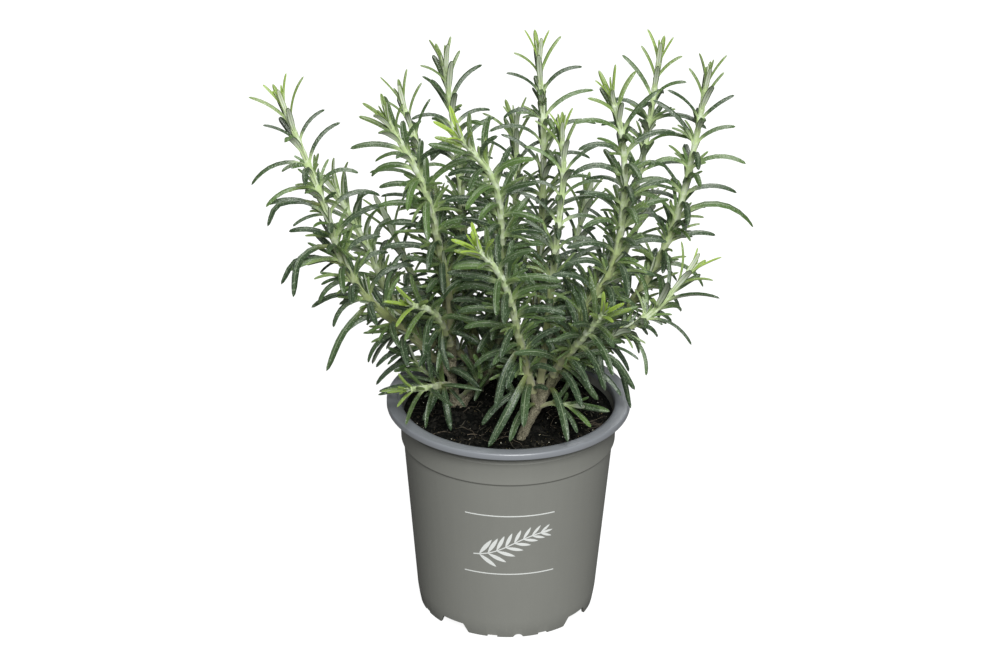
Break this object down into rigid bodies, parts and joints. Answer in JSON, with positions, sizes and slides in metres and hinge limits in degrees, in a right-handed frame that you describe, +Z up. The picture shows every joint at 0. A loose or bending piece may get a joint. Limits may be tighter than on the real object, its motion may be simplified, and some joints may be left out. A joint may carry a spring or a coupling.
{
  "type": "potted rosemary plant",
  "caption": "Young bushy rosemary herb plant with narrow leaves on upright square stems, growing in a plain round nursery pot.",
  "frame": {"origin": "under the middle of the whole plant's bounding box, on the plane that the pot's feet stand on", "axes": "+Z up, -Y towards the side with the printed sprig, +X to the right seen from there"},
  "size_m": [0.2432, 0.1844, 0.3069],
  "materials": {
    "pot": "matt taupe-grey moulded polypropylene, a little bluer on the rim",
    "soil": "moist, crumbly, near-black potting soil of bark and plant fibre",
    "bark": "dull grey-brown, finely cracked bark",
    "leaf": "leathery dark green, semi-gloss above and felted pale grey-green below"
  },
  "bodies": {
    "root": {"pot": "pot", "soil": "soil", "wood_left": "bark", "wood_front": "bark", "wood_back_left": "bark", "wood_back_right": "bark", "stem_tall_left": "leaf", "stem_left_behind": "leaf", "stem_upright_left": "leaf", "stem_leaning_left": "leaf", "stem_side_left": "leaf", "stem_rim_left": "leaf", "stem_bright_mid": "leaf", "stem_pale_front": "leaf", "stem_upright_centre": "leaf", "stem_bright_front": "leaf", "stem_broad_right": "leaf", "stem_low_right": "leaf", "stem_tall_mid_left": "leaf", "stem_small_centre": "leaf", "stem_back_left": "leaf", "stem_back_centre": "leaf", "stem_small_behind": "leaf", "stem_tall_centre": "leaf", "stem_tall_right": "leaf", "stem_far_right": "leaf", "stem_back_right": "leaf", "stem_back_mid_right": "leaf"}
  },
  "joints": []
}
